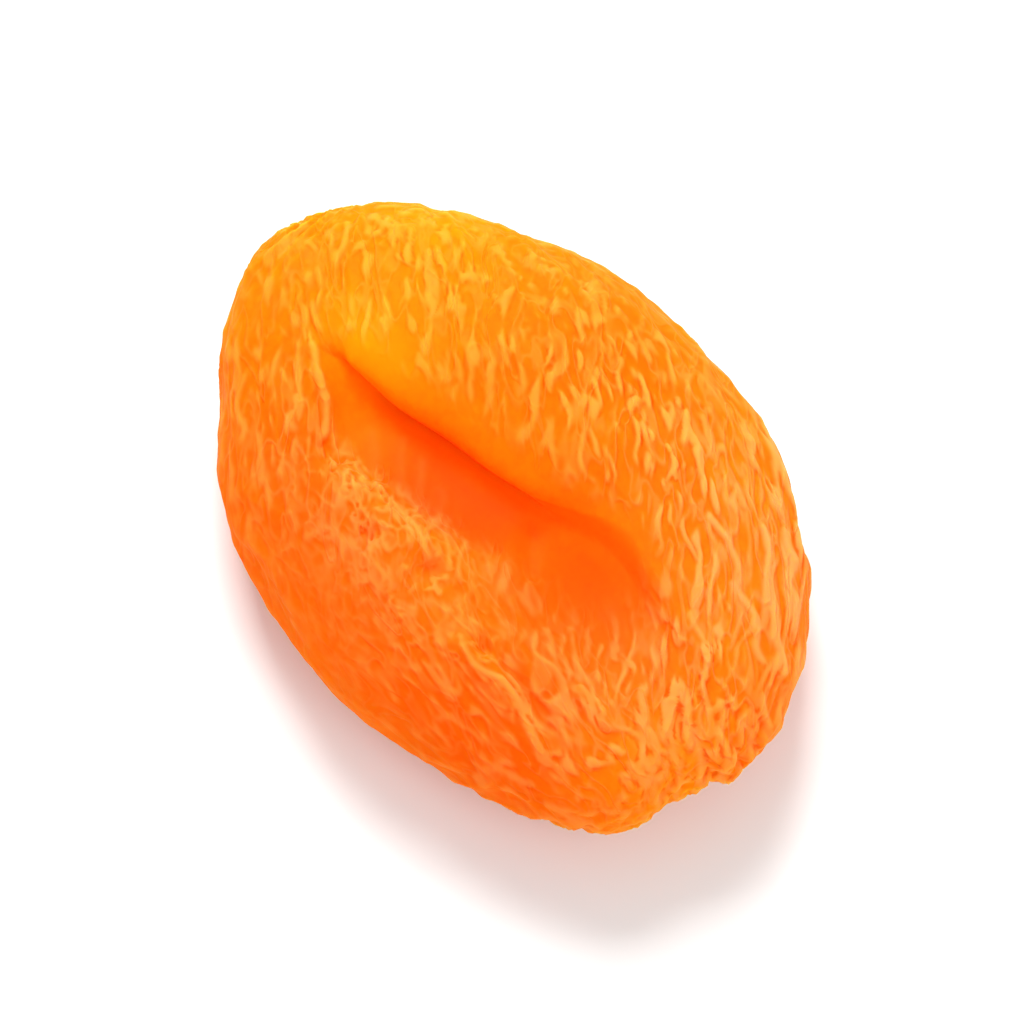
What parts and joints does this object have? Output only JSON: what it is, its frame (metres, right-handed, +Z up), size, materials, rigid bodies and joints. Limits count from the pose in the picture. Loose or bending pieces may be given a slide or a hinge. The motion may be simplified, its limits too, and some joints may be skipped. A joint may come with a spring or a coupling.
{
  "type": "dried apricot",
  "caption": "Whole pitted dried apricot: a flattened oval fruit with wrinkled skin and a deep collapsed fold along its upper face, lying on its flatter side.",
  "frame": {"origin": "on the surface the fruit rests on, under the middle of its length and width", "axes": "+X along the fruit from the blunt stem end to the pinched tip, +Y across it towards the higher lobe, +Z up, out of the folded face"},
  "size_m": [0.0458, 0.0322, 0.0127],
  "materials": {
    "apricot_skin": "supple dried fruit skin, satin, slightly translucent"
  },
  "bodies": {
    "root": {"dried_apricot": "apricot_skin"}
  },
  "joints": []
}
